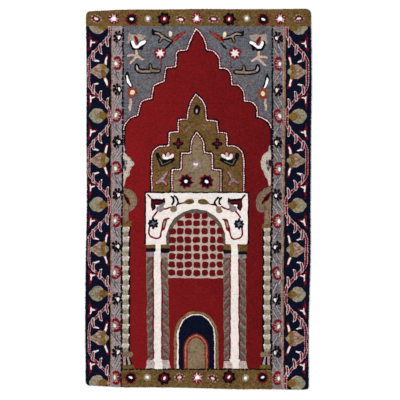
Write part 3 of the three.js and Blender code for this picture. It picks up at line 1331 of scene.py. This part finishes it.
def paint_half_column(side):
    """A leaf bracket, a scroll, a capital and a plaited shaft on a stepped base."""
    x = niche_edge(side)
    patch = region(x, 60, (80, 260))
    patch.u = -OUTWARD[side] * (patch.u - x)
    free = patch.u > -1
    paint_bracket(patch, side, free)
    paint_scroll(patch, side, free)
    cap = patch.box(-2, 36, *HALF_CAPITAL[side])
    patch.fill(cap, "olive")
    patch.fill(cap & (np.sin(patch.u / 3.1) + np.sin(patch.v / 3.7) > 0.4), "gold")
    patch = region(x, -400, (60, 320))
    patch.u = -OUTWARD[side] * (patch.u - x)
    paint_plait(patch, side)
    paint_column_base(patch)


def paint_pattern():
    paint_grounds()
    for side in OUTWARD:
        paint_half_column(side)
    paint_dome()
    paint_dome_motifs()
    paint_portal()
    paint_portal_motifs()
    for side in COLUMN_EDGES:
        paint_column(side)
    paint_doorway()
    paint_spandrel()
    for side in OUTWARD:
        paint_side(side)
        paint_vine(side)
        paint_mauve_band(side)
    paint_end_bands()
    paint_rosettes()


paint_pattern()


# Pile: the cells as a mesh, with each yarn's edges drawn smooth

# The smoothing: its rounds, how far a point moves towards its goal in each, its longest move in
# cells, and how many grid lines along the rug's edge stay as they are
ROUNDS = 7
PULL = 0.6
LONGEST_MOVE = 0.55
KEPT_LINES = 5


def relaxed(x, y):
    """Moves the grid's points so that the lines between yarns run smoothly."""
    between_rows = np.zeros((ROWS + 1, COLUMNS), bool)
    between_rows[1:-1] = yarn[1:] != yarn[:-1]
    between_columns = np.zeros((ROWS, COLUMNS + 1), bool)
    between_columns[:, 1:-1] = yarn[:, 1:] != yarn[:, :-1]
    count = np.zeros(x.shape)
    count[:, :-1] += between_rows
    count[:, 1:] += between_rows
    count[:-1] += between_columns
    count[1:] += between_columns
    on_line = count > 0
    inner = np.zeros(x.shape, bool)
    inner[KEPT_LINES:-KEPT_LINES, KEPT_LINES:-KEPT_LINES] = True
    limit = LONGEST_MOVE * CELL
    start_x, start_y = x.copy(), y.copy()
    for _ in range(ROUNDS):
        moved = []
        for value, start in ((x, start_x), (y, start_y)):
            lines = np.zeros(x.shape)
            lines[:, :-1] += between_rows * value[:, 1:]
            lines[:, 1:] += between_rows * value[:, :-1]
            lines[:-1] += between_columns * value[1:]
            lines[1:] += between_columns * value[:-1]
            plain = np.zeros(x.shape)
            plain[:, :-1] += value[:, 1:]
            plain[:, 1:] += value[:, :-1]
            plain[:-1] += value[1:]
            plain[1:] += value[:-1]
            goal = np.where(on_line, lines / np.maximum(count, 1), plain / 4)
            new = value + PULL * (goal - value)
            new = np.clip(new, start - limit, start + limit)
            moved.append(np.where(inner, new, value))
        x, y = moved
    return x, y, on_line


# Loose tufts stick out round the rug's edge by up to this much
RIM_TUFT = 2.2


def push_rim(x, y):
    """Pushes the points of the rug's outline out by the length of a loose tuft."""
    for lines in (x.T, y):
        for rim, next_in, way in ((0, 1, -1), (-1, -2, 1)):
            tuft = way * RIM_TUFT * rng.uniform(0, 1, lines.shape[1]) ** 1.5
            lines[rim] += tuft
            lines[next_in] += tuft * 0.7


# The pile's mean depth under the slab's top, the depth of the grooves between yarns and the most
# that a tuft stands over the slab's top
PILE_DEPTH = 0.9
GROOVE = 0.9
TUFT_OVER = 0.4


def pile_height(on_line):
    """Height of the grid's points: tufts, worn waves, grooves between yarns, rolled edge."""
    shape = flat_x.shape
    tufts = 0.42 * rng.standard_normal(shape) + 0.3 * smooth_noise(*shape, 2.2)
    waves = 0.35 * smooth_noise(*shape, 22) + 0.3 * smooth_noise(*shape, 90)
    height = PILE_TOP - PILE_DEPTH + tufts + waves - GROOVE * on_line
    from_edge = np.minimum(WIDTH / 2 - np.abs(flat_x), LENGTH / 2 - np.abs(flat_y))
    depth = np.clip(PILE_ROLL - from_edge, 0, PILE_ROLL)
    drop_down = PILE_ROLL - np.sqrt(np.maximum(PILE_ROLL**2 - depth**2, 0))
    return np.minimum(height, PILE_TOP + TUFT_OVER) - drop_down


def new_object(name, points, faces, materials, slots, flat_faces=0):
    """A mesh piece in metres from points in millimetres. The last faces may be shaded flat."""
    mesh = bpy.data.meshes.new(name)
    mesh.from_pydata((points * MM).tolist(), [], faces)
    for material in materials:
        mesh.materials.append(material)
    mesh.polygons.foreach_set("material_index", np.array(slots, np.int32))
    smooth = np.ones(len(faces), bool)
    if flat_faces:
        smooth[-flat_faces:] = False
    mesh.polygons.foreach_set("use_smooth", smooth)
    mesh.update()
    piece = bpy.data.objects.new(name, mesh)
    bpy.context.scene.collection.objects.link(piece)
    return piece


def to_linear(value):
    c = value / 255
    return c / 12.92 if c <= 0.04045 else ((c + 0.055) / 1.055) ** 2.4


# The rug's middle is lit by this much more than full white
LIGHT_GAIN = 1.22
# Sizes in metres of the tufts, the tufted rows, the heathered blots, the washed patches and the
# loose fibres
TUFT_PITCH = 0.0042
ROW_PITCH = 0.0052
HEATHER_SIZE = 0.008
WASH_SIZE = 0.11
FIBRE_SIZE = 0.0011


def link(tree, source, socket_out, target, socket_in):
    tree.links.new(source.outputs[socket_out], target.inputs[socket_in])


def noise_node(tree, vector, size, detail=2.0):
    """Noise whose blots are about this many metres across."""
    noise = tree.nodes.new("ShaderNodeTexNoise")
    noise.inputs["Scale"].default_value = 1 / size
    noise.inputs["Detail"].default_value = detail
    tree.links.new(vector, noise.inputs["Vector"])
    return noise


def stretched(tree, vector, scale):
    """Coordinates that are multiplied axis by axis."""
    node = tree.nodes.new("ShaderNodeVectorMath")
    node.operation = "MULTIPLY"
    node.inputs[1].default_value = scale
    tree.links.new(vector, node.inputs[0])
    return node.outputs[0]


def weighted(tree, value, weight, total=None):
    """Adds weight times the part of the value above one half to a total."""
    node = tree.nodes.new("ShaderNodeMath")
    node.operation = "MULTIPLY_ADD"
    tree.links.new(value, node.inputs[0])
    node.inputs[1].default_value = weight
    if total is None:
        node.inputs[2].default_value = 1 - weight / 2
        return node.outputs[0]
    lowered = tree.nodes.new("ShaderNodeMath")
    lowered.operation = "SUBTRACT"
    tree.links.new(total, lowered.inputs[0])
    lowered.inputs[1].default_value = weight / 2
    tree.links.new(lowered.outputs[0], node.inputs[2])
    return node.outputs[0]


def yarn_material(name):
    """Cut wool pile: each tuft its own shade, heathered and washed unevenly, soft and dull, and
    darker towards the right as painted shade.
    """
    red, green, blue, uneven, slope = YARNS[name]
    colour = [min(to_linear(c) / LIGHT_GAIN, 0.95) for c in (red, green, blue)]
    material = bpy.data.materials.new("wool_" + name)
    material.use_nodes = True
    tree = material.node_tree
    nodes = tree.nodes
    nodes.clear()
    output = nodes.new("ShaderNodeOutputMaterial")
    shader = nodes.new("ShaderNodeBsdfPrincipled")
    link(tree, shader, "BSDF", output, "Surface")
    shader.inputs["Roughness"].default_value = 0.95
    shader.inputs["Specular IOR Level"].default_value = 0.06
    shader.inputs["Sheen Weight"].default_value = 0.08
    shader.inputs["Sheen Roughness"].default_value = 0.6
    shader.inputs["Sheen Tint"].default_value = (*colour, 1)

    place = nodes.new("ShaderNodeTexCoord").outputs["Object"]
    tuft = nodes.new("ShaderNodeTexVoronoi")
    tuft.inputs["Scale"].default_value = 1 / TUFT_PITCH
    tree.links.new(place, tuft.inputs["Vector"])
    shade = nodes.new("ShaderNodeSeparateColor")
    link(tree, tuft, "Color", shade, "Color")
    heather = noise_node(tree, place, HEATHER_SIZE, 3)
    wash = noise_node(tree, place, WASH_SIZE)
    rows = noise_node(tree, stretched(tree, place, (0.09, 1, 1)), ROW_PITCH, 1)
    lean = nodes.new("ShaderNodeSeparateXYZ")
    tree.links.new(place, lean.inputs[0])

    tone = weighted(tree, shade.outputs["Red"], 6 * uneven)
    tone = weighted(tree, heather.outputs["Fac"], 13 * uneven, tone)
    tone = weighted(tree, rows.outputs["Fac"], 5 * uneven, tone)
    tone = weighted(tree, wash.outputs["Fac"], 6 * uneven, tone)
    # The yarn gets darker towards the right by its slope: painted shade for the light falling off
    # across the rug
    side_shaded_tone = nodes.new("ShaderNodeMath")
    side_shaded_tone.operation = "MULTIPLY_ADD"
    link(tree, lean, "X", side_shaded_tone, 0)
    side_shaded_tone.inputs[1].default_value = slope
    tree.links.new(tone, side_shaded_tone.inputs[2])

    # Each strand of the yarn also leans to a warmer or a cooler shade
    hue = nodes.new("ShaderNodeVectorMath")
    hue.operation = "MULTIPLY_ADD"
    link(tree, heather, "Color", hue, 0)
    hue.inputs[1].default_value = [4.4 * uneven * c for c in colour]
    hue.inputs[2].default_value = [(1 - 2.2 * uneven) * c for c in colour]
    tint = nodes.new("ShaderNodeVectorMath")
    tint.operation = "SCALE"
    link(tree, hue, 0, tint, 0)
    link(tree, side_shaded_tone, 0, tint, "Scale")
    link(tree, tint, 0, shader, "Base Color")

    # Domed tufts and the loose fibres on them
    fibre = noise_node(tree, place, FIBRE_SIZE)
    dome = nodes.new("ShaderNodeMath")
    dome.operation = "MULTIPLY_ADD"
    link(tree, tuft, "Distance", dome, 0)
    dome.inputs[1].default_value = -1.0
    link(tree, fibre, "Fac", dome, 2)
    bump = nodes.new("ShaderNodeBump")
    bump.inputs["Strength"].default_value = 0.5
    bump.inputs["Distance"].default_value = 0.0012
    link(tree, dome, 0, bump, "Height")
    link(tree, bump, "Normal", shader, "Normal")
    return material


# The side of the pile below its rim: how far it is drawn in and its height over the floor
PILE_SIDE = [(0.2, 4.6), (1.6, 1.8)]


def build_pile(materials, middle):
    x, y, on_line = relaxed(corner_x.copy(), corner_y.copy())
    push_rim(x, y)
    z = pile_height(on_line)
    points = np.stack([x - middle[0], y - middle[1], z], axis=-1)
    cuts = np.linspace(0, ROWS, len(PILE_PARTS) + 1).astype(int)
    pieces = []
    for name, first, last in zip(reversed(PILE_PARTS), cuts[:-1], cuts[1:]):
        pieces.append(pile_part(name, points[first:last + 1], yarn[first:last], materials))
    return pieces


def pile_part(name, points, cells, materials):
    """One length of the pile, closed by its sides and a plain face below."""
    rows, columns = cells.shape
    width = columns + 1
    index = np.arange((rows + 1) * width).reshape(rows + 1, width)
    quads = np.stack([index[:-1, :-1], index[:-1, 1:], index[1:, 1:], index[1:, :-1]], axis=-1)
    faces = quads.reshape(-1, 4).tolist()
    slots = cells.reshape(-1).tolist()

    # The rim of this part in order, with the yarn of the cell beside each stretch
    rim = np.concatenate([index[0, :-1], index[:-1, -1], index[-1, :0:-1], index[:0:-1, 0]])
    rim_yarn = np.concatenate([cells[0], cells[:, -1], cells[-1, ::-1], cells[::-1, 0]])
    all_points = [points.reshape(-1, 3)]
    middle = points.reshape(-1, 3)[:, :2].mean(axis=0)
    ring = rim
    count = len(rim)
    base = all_points[0]
    start = len(base)
    for inset, height in PILE_SIDE:
        side = base[rim].copy()
        inward = middle - side[:, :2]
        inward /= np.hypot(*inward.T)[:, None]
        side[:, :2] += inward * inset
        side[:, 2] = height
        all_points.append(side)
        new_ring = np.arange(start, start + count)
        following = np.roll(ring, -1)
        new_following = np.roll(new_ring, -1)
        side_faces = np.stack([ring, new_ring, new_following, following], axis=-1)
        faces += side_faces.tolist()
        slots += rim_yarn.tolist()
        ring = new_ring
        start += count
    faces.append(ring[::-1].tolist())
    slots.append(YARN_INDEX["backing"])
    return new_object(name, np.concatenate(all_points), faces, materials, slots, 2 * count + 1)


# The backing cloth: its cells, the grid lines along its lifted edge, the height of its upper
# side, and the width, thickness and sloping half-step of the cloth that is turned under
CLOTH_CELL = 22.0
CLOTH_EDGE_LINES = [1.0, 3.0, 7.0]
CLOTH_TOP = 2.6
HEM_WIDTH = 37.0
HEM_THICKNESS = 0.45
HEM_SLOPE = 3.0


def build_backing(material, middle):
    """The cotton cloth behind the pile, with its edge turned under."""
    edge = np.array([*CLOTH_EDGE_LINES, HEM_WIDTH - HEM_SLOPE])
    inset = HEM_WIDTH + HEM_SLOPE
    lines = []
    for length in (WIDTH, LENGTH):
        half = length / 2
        inner = np.linspace(inset - half, half - inset, round((length - 2 * inset) / CLOTH_CELL) + 1)
        lines.append(np.concatenate([edge - half, inner, half - edge[::-1]]))
    x, y = np.meshgrid(*lines)
    from_edge = np.minimum(WIDTH / 2 - np.abs(x), LENGTH / 2 - np.abs(y))
    x, y = on_rug(x, y)
    outer, *_, lifted = CLOTH_EDGE_LINES
    lift = HEM_LIFT * np.clip(1 - (from_edge - outer) / (lifted - outer), 0, 1) ** 2
    step = np.where(from_edge > HEM_WIDTH, HEM_THICKNESS, 0.0)
    under = np.maximum(lift, step)
    top = np.full_like(x, CLOTH_TOP)
    rows, columns = x.shape
    index = np.arange(rows * columns).reshape(rows, columns)
    below = index + rows * columns
    up = np.stack([index[:-1, :-1], index[:-1, 1:], index[1:, 1:], index[1:, :-1]], axis=-1)
    down = np.stack([below[:-1, :-1], below[1:, :-1], below[1:, 1:], below[:-1, 1:]], axis=-1)
    rim = np.concatenate([index[0, :-1], index[:-1, -1], index[-1, :0:-1], index[:0:-1, 0]])
    following = np.roll(rim, -1)
    lower_rim = rim + rows * columns
    lower_following = following + rows * columns
    sides = np.stack([rim, lower_rim, lower_following, following], axis=-1)
    faces = [*up.reshape(-1, 4).tolist(), *down.reshape(-1, 4).tolist(), *sides.tolist()]
    points = np.stack([np.stack([x - middle[0], y - middle[1], z], axis=-1) for z in (top, under)])
    return new_object("backing", points.reshape(-1, 3), faces, [material], [0] * len(faces))


def cloth_material():
    """Plain cotton cloth: a fine square weave."""
    red, green, blue, *_ = YARNS["backing"]
    material = bpy.data.materials.new("cotton_backing")
    material.use_nodes = True
    tree = material.node_tree
    nodes = tree.nodes
    shader = nodes["Principled BSDF"]
    shader.inputs["Roughness"].default_value = 0.9
    shader.inputs["Specular IOR Level"].default_value = 0.2
    shader.inputs["Sheen Weight"].default_value = 0.1
    place = nodes.new("ShaderNodeTexCoord")
    threads = []
    for way in ("X", "Y"):
        wave = nodes.new("ShaderNodeTexWave")
        wave.bands_direction = way
        wave.inputs["Scale"].default_value = 1 / 0.0052
        wave.inputs["Distortion"].default_value = 0.6
        link(tree, place, "Object", wave, "Vector")
        threads.append(wave)
    weave = nodes.new("ShaderNodeMath")
    weave.operation = "MAXIMUM"
    link(tree, threads[0], "Fac", weave, 0)
    link(tree, threads[1], "Fac", weave, 1)
    slub = nodes.new("ShaderNodeTexNoise")
    slub.inputs["Scale"].default_value = 90
    link(tree, place, "Object", slub, "Vector")
    ramp = nodes.new("ShaderNodeMix")
    ramp.data_type = "RGBA"
    light = [to_linear(c) for c in (red, green, blue)]
    ramp.inputs["A"].default_value = (*[c * 0.72 for c in light], 1)
    ramp.inputs["B"].default_value = (*light, 1)
    mixed = nodes.new("ShaderNodeMath")
    mixed.operation = "MULTIPLY"
    link(tree, weave, 0, mixed, 0)
    link(tree, slub, "Fac", mixed, 1)
    mixed.use_clamp = True
    link(tree, mixed, 0, ramp, "Factor")
    tree.links.new(ramp.outputs["Result"], shader.inputs["Base Color"])
    bump = nodes.new("ShaderNodeBump")
    bump.inputs["Strength"].default_value = 0.4
    bump.inputs["Distance"].default_value = 0.0004
    link(tree, weave, 0, bump, "Height")
    link(tree, bump, "Normal", shader, "Normal")
    return material


middle = rug_middle()
wool = [yarn_material(name) for name in YARNS]
pile = build_pile(wool, middle)
backing = build_backing(cloth_material(), middle)

for piece in [*pile, backing]:
    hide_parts("rug")
    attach(piece, "root")


# Floor, light and camera

FLOOR_SIZE = 12.0
FLOOR_COLOUR = (0.93, 0.93, 0.935, 1)
SKY_STRENGTH = 0.62
# The columns are the name, the place in metres, the size in metres and the power in watts
LIGHTS = [
    ("key_light", (-1.7, 1.1, 3.2), 2.4, 88),
    ("fill_light", (1.7, -1.3, 3.0), 2.6, 46),
]


def build_floor():
    mesh = bpy.data.meshes.new("floor")
    half = FLOOR_SIZE / 2
    corners = [(-half, -half, 0), (half, -half, 0), (half, half, 0), (-half, half, 0)]
    mesh.from_pydata(corners, [], [(0, 1, 2, 3)])
    floor = bpy.data.objects.new("floor", mesh)
    bpy.context.scene.collection.objects.link(floor)
    material = bpy.data.materials.new("pale_floor")
    material.use_nodes = True
    shader = material.node_tree.nodes["Principled BSDF"]
    shader.inputs["Base Color"].default_value = FLOOR_COLOUR
    shader.inputs["Roughness"].default_value = 0.9
    shader.inputs["Specular IOR Level"].default_value = 0.1
    mesh.materials.append(material)


def build_lights():
    bpy.context.scene.view_settings.view_transform = "Standard"
    world = bpy.data.worlds.new("studio")
    bpy.context.scene.world = world
    world.use_nodes = True
    background = world.node_tree.nodes["Background"]
    background.inputs["Color"].default_value = (1, 1, 1, 1)
    background.inputs["Strength"].default_value = SKY_STRENGTH
    for name, place, size, power in LIGHTS:
        data = bpy.data.lights.new(name, "AREA")
        data.size = size
        data.energy = power
        lamp = bpy.data.objects.new(name, data)
        bpy.context.scene.collection.objects.link(lamp)
        lamp.location = place
        tip = math.atan2(math.hypot(place[0], place[1]), place[2])
        swing = math.atan2(place[1], place[0]) + math.pi / 2
        lamp.rotation_euler = (tip, 0, swing)


# The camera looks straight down, and its view is this wide at the top of the pile
VIEW_WIDTH = 1.6145
VIEW_MIDDLE = (0.0063, -0.003)
LENS = 85.0
SENSOR = 36.0


def build_camera():
    data = bpy.data.cameras.new("camera")
    data.lens = LENS
    data.sensor_width = SENSOR
    data.sensor_fit = "HORIZONTAL"
    camera = bpy.data.objects.new("camera", data)
    bpy.context.scene.collection.objects.link(camera)
    height = PILE_TOP * MM + VIEW_WIDTH * LENS / SENSOR
    camera.location = (*VIEW_MIDDLE, height)
    bpy.context.scene.camera = camera


build_floor()
build_lights()
build_camera()
